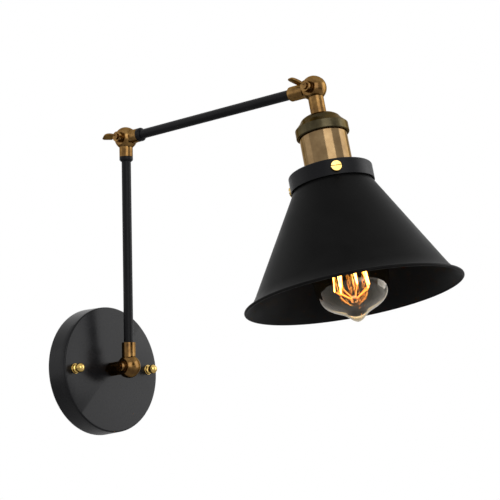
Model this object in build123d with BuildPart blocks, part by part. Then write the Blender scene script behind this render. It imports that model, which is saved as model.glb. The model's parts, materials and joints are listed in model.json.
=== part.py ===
"""Two-arm wall lamp: a round canopy on the wall, two arms, three clamped ball knuckles and a hooded head.

Millimetres and degrees. The origin is the centre of the canopy's open back, on the wall. +X runs to the
right along the wall, -Y points out of the wall into the room, and +Z is up. Both arms and the head lie in
the YZ plane, and every knuckle turns about an axis along X.
"""
from build123d import *
import math
import os

# ---- pose at rest -------------------------------------------------------------------------------------
LOWER_LEAN = 4.0  # lower arm, tipped out from upright
UPPER_DROP = 2.5  # upper arm, below level
HEAD_TILT = 6.7  # head axis, tipped out from straight down

# ---- main spans ---------------------------------------------------------------------------------------
LOWER_ARM = 220.0  # knuckle centre to knuckle centre
UPPER_ARM = 230.0
KNUCKLE_STANDOFF = 23.0  # wall knuckle centre in front of the canopy face

# ---- clearances ---------------------------------------------------------------------------------------
SLIP = 0.05  # radial room round a pin, screw or spigot
LEAD_ROOM = 0.3  # radial room round a lead in its bore
SIDE_PLAY = 0.1  # tongue to cheek, each side
EDGE_BREAK = 0.3  # softened edges of turned parts

# ---- canopy and wall bracket --------------------------------------------------------------------------
BRACKET_LENGTH = 108.0
BRACKET_WIDTH = 18.0
BRACKET_SHEET = 1.6
BRACKET_END = 11.5  # raised length at each end
BRACKET_BEND = 4.5  # run of each sloping step
BRACKET_STEP = 5.0  # how far the ends stand off the wall
BRACKET_FLAT = BRACKET_LENGTH - 2 * (BRACKET_END + BRACKET_BEND)  # middle length that lies on the wall
BRACKET_ROOM = 6.0  # from each end out to the canopy face's edge
CANOPY_FLARE = 1.0  # rim wider than the face, each side
CANOPY_FACE_DIA = BRACKET_LENGTH + 2 * BRACKET_ROOM
CANOPY_RIM_DIA = CANOPY_FACE_DIA + 2 * CANOPY_FLARE
CANOPY_DEPTH = 21.0
CANOPY_SHEET = 1.2
CANOPY_EDGE_R = 1.6
WALL_SLOT_INSET = 8.0  # slot centre in from each bend
WALL_SLOT_SPACING = BRACKET_FLAT - 2 * WALL_SLOT_INSET
WALL_SLOT_LENGTH = 12.0
WALL_SLOT_WIDTH = 4.8
SUPPLY_HOLE_DIA = 13.0
FIXING_INSET = 6.5  # screw in from each end of the bracket
FIXING_SPACING = BRACKET_LENGTH - 2 * FIXING_INSET
FIXING_SCREW_DIA = 4.0
FIXING_SCREW_REACH = 6.6  # past the canopy face, inside the cap nut
FIXING_HEAD_DIA = 7.6
FIXING_HEAD_HEIGHT = 2.4
NUT_BASE_DIA = 9.4
NUT_BASE_HEIGHT = 1.2
NUT_STEP_DIA = 8.6
NUT_STEP_HEIGHT = 3.2
NUT_NECK_DIA = 6.4
NUT_NECK_HEIGHT = 3.9
NUT_BALL_DIA = 8.8
NUT_BALL_CENTRE = 7.2  # in front of the canopy face
EARTH_SCREW_X = -15.0
EARTH_SCREW_DIA = 4.0
EARTH_SCREW_LENGTH = 1.5  # under its head
EARTH_HEAD_DIA = 8.0
EARTH_HEAD_HEIGHT = 2.2
EARTH_SLOT_WIDTH = 1.2
EARTH_SLOT_DEPTH = 1.0

# ---- mains terminal block on the bracket --------------------------------------------------------------
BLOCK_X = 16.0
BLOCK_WIDTH = 13.0
BLOCK_DEPTH = 10.5
BLOCK_HEIGHT = 15.0
BLOCK_EDGE_R = 1.0
BLOCK_POLE_SPACING = 6.0
BLOCK_WIRE_HOLE_DIA = 3.2
BLOCK_SCREW_DIA = 3.0
BLOCK_SCREW_SPACING = 8.0
BLOCK_SCREW_LENGTH = 2.4
BLOCK_SCREW_SUNK = 0.8
BLOCK_SCREW_SLOT = 0.6

# ---- knuckles: distances from the knuckle centre ------------------------------------------------------
BALL_DIA = 22.0
BALL_FLAT = 8.3  # face under the wing screw
SLOT_DIA = 22.4
TONGUE_THICKNESS = 6.0
TONGUE_CROWN_DIA = 21.8  # just under the ball's surface, so that the ball looks whole
TONGUE_NECK = 12.4
COLLAR_HOLLOW_DIA = 22.6  # hollow end of the collar round the ball
COLLAR_DIA = 13.0
PIVOT_DIA = 5.0
PIVOT_END = 8.3
LEAD_DIA = 3.2
LEAD_BORE_END = 7.0  # blind end of the lead's bore in a tongue
FORK_LEAD_END = 11.6  # end of a lead in a fork
WASHER_DIA = 10.4
WASHER_SHEET = 0.6

# ---- wing screws --------------------------------------------------------------------------------------
HUB_DIA = 9.6
HUB_HEIGHT = 4.2
HUB_TIP_DIA = 6.0
HUB_TIP_HEIGHT = 1.4
WING_CENTRE = 3.1  # blade's middle line, out from the washer
WING_CANT = 29.0  # blade turned out of the plane through the screw's axis
WING_THICKNESS = 1.9
WING_EDGE_R = 0.3
WING_WAIST = 3.0  # half width at the hub
WING_WAIST_END = 7.6
WING_BELLY = 10.2  # where the inner edge reaches its line
WING_INNER = 4.4  # straight inner edge, from the middle line
WING_CROWN = 4.1  # highest point of the outer edge, from the middle line
WING_CROWN_AT = 8.0
WING_BOW_AT = 15.6  # point that the outer edge passes
WING_BOW = 2.3
WING_TIP_FROM = 20.8
WING_TIP_R = 1.4
WING_REACH = 22.3  # from the screw's axis to the tip
WALL_WING_ANGLE = 0.5  # direction of each wing, up from the line back to the wall
ELBOW_WING_ANGLE = 13.5
HEAD_WING_ANGLE = 34.5

# ---- arms: distances from the knuckle centre ----------------------------------------------------------
TUBE_DIA = 9.0
TUBE_WALL = 1.0
TUBE_SEAT = 12.5
WALL_COLLAR_END = 22.6
ELBOW_COLLAR_END = 18.4
FERRULE_END = 22.8
FERRULE_CHAMFER = 1.4
HEAD_COLLAR_END = 25.6
HEAD_TUBE_SEAT = 15.0
HEAD_COLLAR_END_R = 1.6

# ---- stem on the canopy -------------------------------------------------------------------------------
STEM_THREAD_DIA = 10.0
STEM_NUT_ACROSS = 14.0
STEM_NUT_HEIGHT = 4.0
STEM_WASHER_DIA = 16.0
STEM_WASHER_SHEET = 1.0
STEM_THREAD_SPARE = 1.6  # thread left past the nut
CANOPY_LEAD_BEND_R = 5.5
CANOPY_LEAD_DEPTH = 6.6  # lead's centre line off the wall once it has turned
CANOPY_LEAD_TOP = 19.5

# ---- head: distances along the head axis, from the head knuckle ----------------------------------------
NECK_DIA = 13.4
NECK_END = 25.0
NECK_THREAD_DIA = 9.8
NECK_NUT_ACROSS = 13.0
NECK_NUT_HEIGHT = 3.0
NECK_THREAD_SPARE = 1.4
SHELL_DIA = 40.8
SHELL_SHEET = 1.4
SHELL_INNER_DIA = SHELL_DIA - 2 * SHELL_SHEET
CAP_SHEET = 1.8
CAP_TOP_DIA = 15.0
CAP_SHOULDER = 2.0  # width of the sloping shoulder
CAP_STEP_IN = 1.9  # shoulder's foot inside the shell's outside
CAP_STEP_DIA = SHELL_DIA - 2 * CAP_STEP_IN
CAP_DOME_DIA = CAP_STEP_DIA - 2 * CAP_SHOULDER
CAP_DOME_END = 28.6
CAP_DOME_BULGE = 1.4
CAP_STEP_END = 31.6
CAP_FLANGE_OUT = 2.35  # flange outside the shell
CAP_FLANGE_DIA = SHELL_DIA + 2 * CAP_FLANGE_OUT
CAP_FLANGE_TOP = 35.4
CAP_FLANGE_END = 44.0
CAP_FLANGE_EDGE = 0.7
SHELL_THREAD_STEP = 0.7
SHELL_THREAD_DIA = SHELL_DIA - 2 * SHELL_THREAD_STEP
SHELL_TOP = 38.5
SHELL_END = 92.5
SHELL_LIP_WIDTH = 2.0
SHELL_LIP_DIA = SHELL_INNER_DIA - 2 * SHELL_LIP_WIDTH
SHELL_LIP = 1.2
SHELL_GAP = 0.15  # between the shell and the cap's flange
GALLERY_DIA = 71.3
GALLERY_TOP = 75.5
GALLERY_END = 89.3
GALLERY_SHEET = 1.1
GALLERY_EDGE_R = 1.6
RING_WIDTH = 3.8
RING_DIA = SHELL_THREAD_DIA + 2 * RING_WIDTH
RING_HEIGHT = 5.0
GALLERY_SCREW_COUNT = 3
GALLERY_SCREW_AT = 83.2
GALLERY_SCREW_START = 136.5  # direction of the first screw round the head axis, from +X
GALLERY_SCREW_DIA = 4.0
GALLERY_HEAD_DIA = 8.8
GALLERY_HEAD_HEIGHT = 2.9
GALLERY_SLOT_WIDTH = 1.1
GALLERY_SLOT_DEPTH = 0.9

# ---- shade --------------------------------------------------------------------------------------------
SHADE_SHEET = 1.0
SHADE_BEAD_HEIGHT = 1.4
SHADE_BEAD_ROOM = 0.2  # bead to the gallery's inside
SHADE_NECK_DIA = 66.8
SHADE_NECK_END = 88.6
SHADE_CONE_TOP_DIA = 67.8
SHADE_CONE_TOP = 89.8
SHADE_FLARE_START = 173.0
SHADE_FLARE_DIA = 160.2
SHADE_ROLL_AT = 184.0  # centre of the rolled edge
SHADE_ROLL_RING_DIA = 179.8
SHADE_ROLL_DIA = 2.6

# ---- lampholder insert --------------------------------------------------------------------------------
INSERT_ROOM = 0.2
INSERT_DIA = SHELL_INNER_DIA - 2 * INSERT_ROOM
INSERT_TOP = 55.0
INSERT_FLOOR = 63.0
SCREW_SHELL_DIA = 28.2
SCREW_SHELL_SHEET = 0.5
SCREW_SHELL_TOP = 67.0
SCREW_SHELL_END = 89.0
CONTACT_WIDTH = 6.0
CONTACT_SHEET = 0.5
CONTACT_FOOT = 8.0  # foot's far end and its knee, from the axis
CONTACT_KNEE = 3.0
CONTACT_TOE = 4.0
POST_OFFSET = 9.5
POST_WIDTH = 7.0
POST_DEPTH = 6.0
POST_HEIGHT = 5.0
POST_SCREW_DIA = 3.0
POST_HEAD_DIA = 4.6
POST_HEAD_HEIGHT = 1.6
TAIL_START = 33.0
TAIL_DIA = 1.4
TAIL_OFFSET = 0.8
TAIL_FAN_START = 37.0
TAIL_FAN_END = 44.0
TAIL_BEND_R = 2.5

# ---- lamp bulb (E27, 64 mm teardrop): distances from its contact ----------------------------------------
BULB_CONTACT_AT = 65.6  # along the head axis
BULB_LENGTH = 140.0
BULB_CONTACT_DIA = 9.4
BULB_CONTACT_HEIGHT = 1.0
BULB_INSULATOR_DIA = 20.0
BULB_INSULATOR_END = 4.8
BULB_THREAD_DIA = 26.4
BULB_THREAD_ROOT_DIA = 24.6
BULB_THREAD_START = 5.6
BULB_THREAD_PITCH = 3.6
BULB_THREAD_TURNS = 5
BULB_CAP_SHEET = 0.5
BULB_CAP_END = 27.0
GLASS_SHEET = 0.8
GLASS_NECK_START = 24.2
GLASS_RUN = BULB_LENGTH - GLASS_NECK_START
# share of the glass's run and its outer radius, neck to the edge of the round tip
GLASS_OUTLINE = ((0, 12.65), (0.0276, 12.7), (0.0976, 15.2), (0.3126, 22.2), (0.4853, 28.4), (0.6062, 31.7),
                 (0.6546, 32.0), (0.6978, 31.8), (0.7789, 30.2), (0.8530, 26.1), (0.8955, 20.4), (0.9210, 14.6),
                 (0.9378, 10.8), (0.9546, 8.2))
GLASS_TIP_THICKNESS = 1.2
GLASS_TIP_FULLNESS = 1.0
BULB_STEM_FLARE_DIA = 23.4
BULB_STEM_FLARE_END = 25.6
BULB_STEM_PRESS_DIA = 9.0
BULB_STEM_PRESS_START = 38.0
BULB_STEM_PRESS_END = 49.0
BULB_STEM_SHEET = 1.0
BULB_ROD_DIA = 3.6
BULB_ROD_TO_TIP = 19.0
BULB_ROD_END = BULB_LENGTH - BULB_ROD_TO_TIP
BULB_BUTTON_DIA = 6.0
FILAMENT_HOOKS = 7
FILAMENT_DIA = 0.8
FILAMENT_TOP = 56.0
FILAMENT_TOP_R = 10.5
FILAMENT_TO_TIP = 28.0
FILAMENT_BOTTOM = BULB_LENGTH - FILAMENT_TO_TIP
FILAMENT_BOTTOM_R = 15.0
SUPPORT_DIA = 0.6
SUPPORT_GAP = 0.1  # wire end to the filament
SUPPORT_TOP_ROOT = 47.0
SUPPORT_BOTTOM_ROOT = BULB_ROD_END


# ---- directions and reference planes ------------------------------------------------------------------
def direction(angle):
    """Unit vector in the YZ plane, turned up from +Y (into the wall) by an angle."""
    return Vector(0, math.cos(math.radians(angle)), math.sin(math.radians(angle)))


ACROSS = Vector(1, 0, 0)
INTO_WALL = direction(0)
OUT_OF_WALL = direction(180)
UP_LOWER_ARM = direction(90 + LOWER_LEAN)
DOWN_LOWER_ARM = direction(270 + LOWER_LEAN)
ALONG_UPPER_ARM = direction(180 + UPPER_DROP)
BACK_UPPER_ARM = direction(UPPER_DROP)
DOWN_HEAD = direction(270 - HEAD_TILT)

WALL_KNUCKLE = OUT_OF_WALL * (CANOPY_DEPTH + KNUCKLE_STANDOFF)
ELBOW = WALL_KNUCKLE + UP_LOWER_ARM * LOWER_ARM
HEAD_KNUCKLE = ELBOW + ALONG_UPPER_ARM * UPPER_ARM
WALL_FRONT = Plane(origin=(0, 0, 0), x_dir=(1, 0, 0), z_dir=(0, -1, 0))


def cross_plane(centre, along, distance):
    """Plane square to an arm or to the head axis, at a distance from a centre."""
    return Plane(origin=centre + along * distance, x_dir=ACROSS, z_dir=along)


def section_plane(centre, along):
    """Plane through an axis: x is the radius, along +X, and y the distance along the axis."""
    return Plane(origin=centre, x_dir=ACROSS, z_dir=ACROSS.cross(along))


def side_plane(centre, along, offset):
    """Plane square to X at an offset from a centre, its x pointing along an arm."""
    return Plane(origin=centre + ACROSS * offset, x_dir=along, z_dir=ACROSS)


HEAD_SECTION = section_plane(HEAD_KNUCKLE, DOWN_HEAD)
HEAD_AXIS = Axis(HEAD_KNUCKLE, DOWN_HEAD)
BULB_CONTACT = HEAD_KNUCKLE + DOWN_HEAD * BULB_CONTACT_AT
BULB_SECTION = section_plane(BULB_CONTACT, DOWN_HEAD)


# ---- shapes used more than once -----------------------------------------------------------------------
def turned(centre, along, profile):
    """Solid of revolution from corner points of radius and distance along the axis."""
    with BuildPart() as solid:
        with BuildSketch(section_plane(centre, along)):
            with BuildLine():
                Polyline(*profile, close=True)
            make_face()
        revolve(axis=Axis(centre, along))
    return solid.part


def ring(centre, along, inner_dia, outer_dia, start, end):
    """Plain turned ring, or a rod where the inner diameter is zero."""
    inner_r = inner_dia / 2
    outer_r = outer_dia / 2
    return turned(centre, along, ((inner_r, start), (outer_r, start), (outer_r, end), (inner_r, end)))


def hex_nut(centre, along, across_flats, bore_dia, start, height):
    """Plain hexagon nut round an axis."""
    with BuildPart() as nut:
        with BuildSketch(cross_plane(centre, along, start)):
            RegularPolygon(across_flats / 2, 6, major_radius=False)
            Circle(bore_dia / 2, mode=Mode.SUBTRACT)
        extrude(amount=height)
    return nut.part


def rod_between(start, end, dia):
    """Straight round wire between two points."""
    with BuildPart() as rod:
        with BuildSketch(Plane(origin=start, z_dir=end - start)):
            Circle(dia / 2)
        extrude(amount=(end - start).length)
    return rod.part


def ball_fork(centre, along, collar_dia, collar_end, tube_seat, end_round):
    """Slotted ball that clamps a tongue, on a collar that may take a tube down to a seat."""
    ball_r = BALL_DIA / 2
    with BuildPart() as fork:
        with BuildSketch(section_plane(centre, along)):
            with BuildLine():
                ThreePointArc((0, -ball_r), (ball_r, 0), (0, ball_r))
                Line((0, ball_r), (0, -ball_r))
            make_face()
        revolve(axis=Axis(centre, along))
        with BuildSketch(cross_plane(centre, along, 0)):
            Circle(collar_dia / 2)
        extrude(amount=collar_end)
        fillet(fork.faces().sort_by(Axis(centre, along))[-1].edges(), end_round)
        with BuildSketch(side_plane(centre, along, -ball_r)):
            Circle(ball_r)
        extrude(amount=ball_r - BALL_FLAT, mode=Mode.SUBTRACT)
        with BuildSketch(side_plane(centre, along, 0)):
            Circle(SLOT_DIA / 2)
        extrude(amount=TONGUE_THICKNESS / 2 + SIDE_PLAY, both=True, mode=Mode.SUBTRACT)
        with BuildSketch(side_plane(centre, along, -ball_r)):
            Circle(PIVOT_DIA / 2 + SLIP)
        extrude(amount=ball_r + PIVOT_END + EDGE_BREAK, mode=Mode.SUBTRACT)
        with BuildSketch(cross_plane(centre, along, 0)):
            Circle(LEAD_DIA / 2 + LEAD_ROOM)
        extrude(amount=collar_end, mode=Mode.SUBTRACT)
        if tube_seat:
            with BuildSketch(cross_plane(centre, along, tube_seat)):
                Circle(TUBE_DIA / 2 + SLIP)
            extrude(amount=collar_end - tube_seat, mode=Mode.SUBTRACT)
    return fork.part


def tongue(centre, along, collar_end, tube_seat, end_round):
    """Crowned round tongue that fills a ball's slot, on a collar whose end is hollowed round the ball."""
    crown_r = TONGUE_CROWN_DIA / 2
    hollow_r = COLLAR_HOLLOW_DIA / 2
    half = TONGUE_THICKNESS / 2
    edge_r = math.sqrt(crown_r ** 2 - half ** 2)
    with BuildPart() as piece:
        with BuildSketch(cross_plane(centre, along, 0)):
            Circle(COLLAR_DIA / 2)
        extrude(amount=collar_end)
        fillet(piece.faces().sort_by(Axis(centre, along))[-1].edges(), end_round)
        with BuildSketch(section_plane(centre, along)):
            with BuildLine():
                ThreePointArc((0, -hollow_r), (hollow_r, 0), (0, hollow_r))
                Line((0, hollow_r), (0, -hollow_r))
            make_face()
        revolve(axis=Axis(centre, along), mode=Mode.SUBTRACT)
        with BuildSketch(side_plane(centre, along, 0)):
            with Locations((TUBE_SEAT / 2, 0)):
                Rectangle(TUBE_SEAT, TONGUE_NECK)
        extrude(amount=half, both=True)
        with BuildSketch(Plane(origin=centre, x_dir=along, z_dir=along.cross(ACROSS))):
            with BuildLine():
                Polyline((edge_r, -half), (0, -half), (0, half), (edge_r, half))
                ThreePointArc((edge_r, half), (crown_r, 0), (edge_r, -half))
            make_face()
        revolve(axis=Axis(centre, ACROSS))
        with BuildSketch(side_plane(centre, along, 0)):
            Circle(PIVOT_DIA / 2 + SLIP)
        extrude(amount=TONGUE_THICKNESS, both=True, mode=Mode.SUBTRACT)
        with BuildSketch(cross_plane(centre, along, LEAD_BORE_END)):
            Circle(LEAD_DIA / 2 + LEAD_ROOM)
        extrude(amount=collar_end - LEAD_BORE_END, mode=Mode.SUBTRACT)
        if tube_seat:
            with BuildSketch(cross_plane(centre, along, tube_seat)):
                Circle(TUBE_DIA / 2 + SLIP)
            extrude(amount=collar_end - tube_seat, mode=Mode.SUBTRACT)
    return piece.part


def ferrule(centre, along):
    """Black ring on a tube against a collar's end, its far edge chamfered."""
    with BuildPart() as piece:
        add(ring(centre, along, TUBE_DIA + 2 * SLIP, COLLAR_DIA, ELBOW_COLLAR_END, FERRULE_END))
        far_face = piece.faces().sort_by(Axis(centre, along))[-1]
        chamfer(far_face.edges().sort_by(SortBy.RADIUS)[-1], FERRULE_CHAMFER)
    return piece.part


def wing_screw(centre, wing_angle):
    """Clamping screw across a knuckle: shank, stepped hub and one leaf-shaped wing."""
    hub_seat = BALL_FLAT + WASHER_SHEET
    radial = direction(wing_angle)
    cant = math.radians(WING_CANT)
    width_dir = direction(wing_angle + 90) * math.sin(cant) - ACROSS * math.cos(cant)
    blade_middle = centre - ACROSS * (hub_seat + WING_CENTRE)
    tip_top = 2 * WING_TIP_R - WING_INNER
    hub_plane = Plane(origin=centre - ACROSS * hub_seat, x_dir=INTO_WALL, z_dir=-ACROSS)
    with BuildPart() as screw:
        with BuildSketch(Plane(origin=blade_middle, x_dir=radial, z_dir=radial.cross(width_dir))):
            with BuildLine():
                Polyline((WING_CROWN_AT, WING_CROWN), (0, WING_WAIST), (0, -WING_WAIST),
                         (WING_WAIST_END, -WING_WAIST), (WING_BELLY, -WING_INNER), (WING_TIP_FROM, -WING_INNER))
                ThreePointArc((WING_TIP_FROM, -WING_INNER), (WING_REACH, WING_TIP_R - WING_INNER),
                              (WING_TIP_FROM, tip_top))
                ThreePointArc((WING_TIP_FROM, tip_top), (WING_BOW_AT, WING_BOW), (WING_CROWN_AT, WING_CROWN))
            make_face()
        extrude(amount=WING_THICKNESS / 2, both=True)
        blade_faces = screw.faces().sort_by(Axis(blade_middle, radial.cross(width_dir)))
        fillet(blade_faces[0].edges() + blade_faces[-1].edges(), WING_EDGE_R)
        with BuildSketch(hub_plane):
            Circle(HUB_DIA / 2)
        extrude(amount=HUB_HEIGHT)
        with BuildSketch(hub_plane.offset(HUB_HEIGHT)):
            Circle(HUB_TIP_DIA / 2)
        extrude(amount=HUB_TIP_HEIGHT)
        with BuildSketch(hub_plane):
            Circle(PIVOT_DIA / 2)
        extrude(amount=-(hub_seat + PIVOT_END))
    return screw.part


def washer(centre):
    """Thin washer between a knuckle's side face and its wing screw."""
    with BuildPart() as disc:
        with BuildSketch(Plane(origin=centre - ACROSS * BALL_FLAT, x_dir=INTO_WALL, z_dir=-ACROSS)):
            Circle(WASHER_DIA / 2)
            Circle(PIVOT_DIA / 2 + SLIP, mode=Mode.SUBTRACT)
        extrude(amount=WASHER_SHEET)
    return disc.part


os.makedirs("parts", exist_ok=True)

# ---- wall bracket and what it carries -----------------------------------------------------------------
BRACKET_FLAT_HALF = BRACKET_FLAT / 2
BRACKET_RAISED = BRACKET_FLAT_HALF + BRACKET_BEND
BRACKET_MITRE = BRACKET_SHEET * math.tan(math.atan2(BRACKET_STEP, BRACKET_BEND) / 2)
BRACKET_FRONT = BRACKET_STEP + BRACKET_SHEET
FIXINGS = ((-FIXING_SPACING / 2, 0), (FIXING_SPACING / 2, 0))
WALL_SLOTS = ((-WALL_SLOT_SPACING / 2, 0), (WALL_SLOT_SPACING / 2, 0))

with BuildPart() as wall_bracket:
    with BuildSketch(Plane.XY.offset(-BRACKET_WIDTH / 2)):
        with BuildLine():
            Polyline((0, 0), (BRACKET_FLAT_HALF, 0), (BRACKET_RAISED, -BRACKET_STEP),
                     (BRACKET_LENGTH / 2, -BRACKET_STEP), (BRACKET_LENGTH / 2, -BRACKET_FRONT),
                     (BRACKET_RAISED - BRACKET_MITRE, -BRACKET_FRONT),
                     (BRACKET_FLAT_HALF - BRACKET_MITRE, -BRACKET_SHEET), (0, -BRACKET_SHEET), close=True)
        make_face()
        mirror(about=Plane.YZ)
    extrude(amount=BRACKET_WIDTH)
    with BuildSketch(WALL_FRONT):
        Circle(SUPPLY_HOLE_DIA / 2)
        with Locations(*WALL_SLOTS):
            SlotOverall(WALL_SLOT_LENGTH, WALL_SLOT_WIDTH)
        with Locations(*FIXINGS):
            Circle(FIXING_SCREW_DIA / 2 + SLIP)
        with Locations((EARTH_SCREW_X, 0)):
            Circle(EARTH_SCREW_DIA / 2 + SLIP)
    extrude(amount=BRACKET_FRONT, mode=Mode.SUBTRACT)
wall_bracket.part.label = "wall_bracket"
export_step(wall_bracket.part, "parts/wall_bracket.step")

with BuildPart() as fixing_screws:
    with BuildSketch(WALL_FRONT.offset(BRACKET_STEP - FIXING_HEAD_HEIGHT)):
        with Locations(*FIXINGS):
            Circle(FIXING_HEAD_DIA / 2)
    extrude(amount=FIXING_HEAD_HEIGHT)
    with BuildSketch(WALL_FRONT.offset(BRACKET_STEP)):
        with Locations(*FIXINGS):
            Circle(FIXING_SCREW_DIA / 2)
    extrude(amount=CANOPY_DEPTH - BRACKET_STEP + FIXING_SCREW_REACH)
fixing_screws.part.label = "fixing_screws"
export_step(fixing_screws.part, "parts/fixing_screws.step")

with BuildPart() as earth_screw:
    with BuildSketch(WALL_FRONT.offset(BRACKET_SHEET)):
        with Locations((EARTH_SCREW_X, 0)):
            Circle(EARTH_HEAD_DIA / 2)
    extrude(amount=EARTH_HEAD_HEIGHT)
    with BuildSketch(WALL_FRONT.offset(BRACKET_SHEET)):
        with Locations((EARTH_SCREW_X, 0)):
            Circle(EARTH_SCREW_DIA / 2)
    extrude(amount=-EARTH_SCREW_LENGTH)
    with BuildSketch(WALL_FRONT.offset(BRACKET_SHEET + EARTH_HEAD_HEIGHT)):
        with Locations((EARTH_SCREW_X, 0)):
            Rectangle(EARTH_SLOT_WIDTH, EARTH_HEAD_DIA)
    extrude(amount=-EARTH_SLOT_DEPTH, mode=Mode.SUBTRACT)
earth_screw.part.label = "earth_screw"
export_step(earth_screw.part, "parts/earth_screw.step")

BLOCK_FRONT = BRACKET_SHEET + BLOCK_DEPTH
BLOCK_POLES = (BLOCK_X - BLOCK_POLE_SPACING / 2, BLOCK_X + BLOCK_POLE_SPACING / 2)
BLOCK_SCREWS = [(pole, side * BLOCK_SCREW_SPACING / 2) for pole in BLOCK_POLES for side in (-1, 1)]
BLOCK_WIRE_HOLES = [(pole, -BRACKET_SHEET - BLOCK_DEPTH / 2) for pole in BLOCK_POLES]
BLOCK_SCREW_WELL = BLOCK_SCREW_SUNK + BLOCK_SCREW_LENGTH

with BuildPart() as terminal_block:
    with BuildSketch(WALL_FRONT.offset(BRACKET_SHEET)):
        with Locations((BLOCK_X, 0)):
            RectangleRounded(BLOCK_WIDTH, BLOCK_HEIGHT, BLOCK_EDGE_R)
    extrude(amount=BLOCK_DEPTH)
    with BuildSketch(WALL_FRONT.offset(BLOCK_FRONT)):
        with Locations(*BLOCK_SCREWS):
            Circle(BLOCK_SCREW_DIA / 2 + SLIP)
    extrude(amount=-BLOCK_SCREW_WELL, mode=Mode.SUBTRACT)
    with BuildSketch(Plane.XY.offset(-BLOCK_HEIGHT / 2)):
        with Locations(*BLOCK_WIRE_HOLES):
            Circle(BLOCK_WIRE_HOLE_DIA / 2)
    extrude(amount=BLOCK_HEIGHT, mode=Mode.SUBTRACT)
terminal_block.part.label = "terminal_block"
export_step(terminal_block.part, "parts/terminal_block.step")

with BuildPart() as terminal_screws:
    with BuildSketch(WALL_FRONT.offset(BLOCK_FRONT - BLOCK_SCREW_SUNK)):
        with Locations(*BLOCK_SCREWS):
            Circle(BLOCK_SCREW_DIA / 2)
    extrude(amount=-BLOCK_SCREW_LENGTH)
    with BuildSketch(WALL_FRONT.offset(BLOCK_FRONT - BLOCK_SCREW_SUNK)):
        with Locations(*BLOCK_SCREWS):
            Rectangle(BLOCK_SCREW_SLOT, BLOCK_SCREW_DIA)
    extrude(amount=-BLOCK_SCREW_SLOT, mode=Mode.SUBTRACT)
terminal_screws.part.label = "terminal_screws"
export_step(terminal_screws.part, "parts/terminal_screws.step")

# ---- canopy -------------------------------------------------------------------------------------------
CANOPY_INNER_FACE = CANOPY_DEPTH - CANOPY_SHEET
CANOPY_FACE_R = CANOPY_FACE_DIA / 2
CANOPY_RIM_R = CANOPY_RIM_DIA / 2

with BuildPart() as canopy:
    with BuildSketch(WALL_FRONT):
        Circle(CANOPY_RIM_R)
    with BuildSketch(WALL_FRONT.offset(CANOPY_DEPTH)):
        Circle(CANOPY_FACE_R)
    loft()
    fillet(canopy.faces().sort_by(Axis.Y)[0].edges(), CANOPY_EDGE_R)
    with BuildSketch(WALL_FRONT):
        Circle(CANOPY_RIM_R - CANOPY_SHEET)
    with BuildSketch(WALL_FRONT.offset(CANOPY_INNER_FACE)):
        Circle(CANOPY_FACE_R - CANOPY_SHEET)
    loft(mode=Mode.SUBTRACT)
    with BuildSketch(WALL_FRONT.offset(CANOPY_INNER_FACE)):
        Circle(STEM_THREAD_DIA / 2 + SLIP)
        with Locations(*FIXINGS):
            Circle(FIXING_SCREW_DIA / 2 + LEAD_ROOM)
    extrude(amount=CANOPY_SHEET, mode=Mode.SUBTRACT)
canopy.part.label = "canopy"
export_step(canopy.part, "parts/canopy.step")

NUT_BALL_R = NUT_BALL_DIA / 2
NUT_NECK_R = NUT_NECK_DIA / 2
NUT_NECK_END = NUT_BALL_CENTRE - math.sqrt(NUT_BALL_R ** 2 - NUT_NECK_R ** 2)

with BuildPart() as cap_nuts:
    for fixing_x, fixing_z in FIXINGS:
        nut_seat = Vector(fixing_x, -CANOPY_DEPTH, fixing_z)
        with BuildSketch(section_plane(nut_seat, OUT_OF_WALL)):
            with BuildLine():
                Polyline((0, 0), (NUT_BASE_DIA / 2, 0), (NUT_BASE_DIA / 2, NUT_BASE_HEIGHT),
                         (NUT_STEP_DIA / 2, NUT_BASE_HEIGHT), (NUT_STEP_DIA / 2, NUT_STEP_HEIGHT),
                         (NUT_NECK_R, NUT_NECK_HEIGHT), (NUT_NECK_R, NUT_NECK_END))
                ThreePointArc((NUT_NECK_R, NUT_NECK_END), (NUT_BALL_R, NUT_BALL_CENTRE),
                              (0, NUT_BALL_CENTRE + NUT_BALL_R))
                Line((0, NUT_BALL_CENTRE + NUT_BALL_R), (0, 0))
            make_face()
        revolve(axis=Axis(nut_seat, OUT_OF_WALL))
        with BuildSketch(cross_plane(nut_seat, OUT_OF_WALL, 0)):
            Circle(FIXING_SCREW_DIA / 2 + SLIP)
        extrude(amount=FIXING_SCREW_REACH + LEAD_ROOM, mode=Mode.SUBTRACT)
cap_nuts.part.label = "cap_nuts"
export_step(cap_nuts.part, "parts/cap_nuts.step")

# ---- stem on the canopy -------------------------------------------------------------------------------
STEM_WASHER_AT = KNUCKLE_STANDOFF + CANOPY_SHEET
STEM_NUT_AT = STEM_WASHER_AT + STEM_WASHER_SHEET
STEM_END = STEM_NUT_AT + STEM_NUT_HEIGHT + STEM_THREAD_SPARE
STEM_HOLE_DIA = STEM_THREAD_DIA + 2 * SLIP

with BuildPart() as wall_stem:
    add(tongue(WALL_KNUCKLE, INTO_WALL, KNUCKLE_STANDOFF, 0, EDGE_BREAK))
    add(ring(WALL_KNUCKLE, INTO_WALL, LEAD_DIA + 2 * LEAD_ROOM, STEM_THREAD_DIA, KNUCKLE_STANDOFF, STEM_END))
wall_stem.part.label = "wall_stem"
export_step(wall_stem.part, "parts/wall_stem.step")

with BuildPart() as stem_washer:
    add(ring(WALL_KNUCKLE, INTO_WALL, STEM_HOLE_DIA, STEM_WASHER_DIA, STEM_WASHER_AT, STEM_NUT_AT))
stem_washer.part.label = "stem_washer"
export_step(stem_washer.part, "parts/stem_washer.step")

with BuildPart() as stem_locknut:
    add(hex_nut(WALL_KNUCKLE, INTO_WALL, STEM_NUT_ACROSS, STEM_HOLE_DIA, STEM_NUT_AT, STEM_NUT_HEIGHT))
stem_locknut.part.label = "stem_locknut"
export_step(stem_locknut.part, "parts/stem_locknut.step")

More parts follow.
